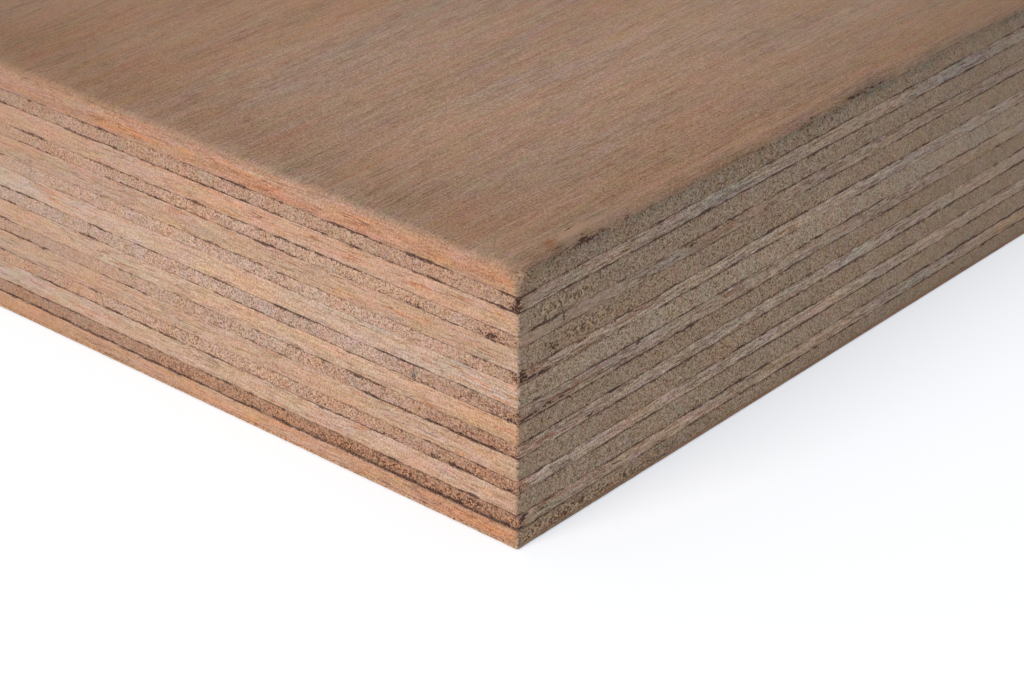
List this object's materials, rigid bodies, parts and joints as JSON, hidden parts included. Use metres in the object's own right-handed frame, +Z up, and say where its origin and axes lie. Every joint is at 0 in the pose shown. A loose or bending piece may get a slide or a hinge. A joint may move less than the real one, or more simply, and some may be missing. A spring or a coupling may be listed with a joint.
{
  "type": "plywood panel",
  "caption": "Thick square plywood panel of cross-banded veneers with dark glue lines, eased top edges and square-cut sides, lying flat as sheet stock.",
  "frame": {"origin": "centre of the underside, on the surface that the panel rests on", "axes": "+Z up through the thickness, X along the face grain, Y across it"},
  "size_m": [0.61, 0.61, 0.04],
  "materials": {
    "face_veneer": "sanded open-pored hardwood face, mid brown with orange and grey streaks along the grain",
    "back_veneer": "thin rough-sanded back veneer, dull brown",
    "cross_ply": "sawn reddish-tan hardwood, long grain on the ends and grey-brown end grain on the front",
    "long_ply": "sawn brown hardwood, speckled end grain on the ends and lighter long grain on the front",
    "glue_line": "dark purple-brown cured phenolic glue"
  },
  "bodies": {
    "root": {"face_veneer": "face_veneer", "cross_ply_02": "cross_ply", "long_ply_03": "long_ply", "cross_ply_04": "cross_ply", "long_ply_05": "long_ply", "cross_ply_06": "cross_ply", "long_ply_07": "long_ply", "cross_ply_08": "cross_ply", "long_ply_09": "long_ply", "cross_ply_10": "cross_ply", "long_ply_11": "long_ply", "cross_ply_12": "cross_ply", "long_ply_13": "long_ply", "cross_ply_14": "cross_ply", "long_ply_15": "long_ply", "cross_ply_16": "cross_ply", "back_veneer": "back_veneer", "glue_line_01": "glue_line", "glue_line_02": "glue_line", "glue_line_03": "glue_line", "glue_line_04": "glue_line", "glue_line_05": "glue_line", "glue_line_06": "glue_line", "glue_line_07": "glue_line", "glue_line_08": "glue_line", "glue_line_09": "glue_line", "glue_line_10": "glue_line", "glue_line_11": "glue_line", "glue_line_12": "glue_line", "glue_line_13": "glue_line", "glue_line_14": "glue_line", "glue_line_15": "glue_line", "glue_line_16": "glue_line"}
  },
  "joints": []
}
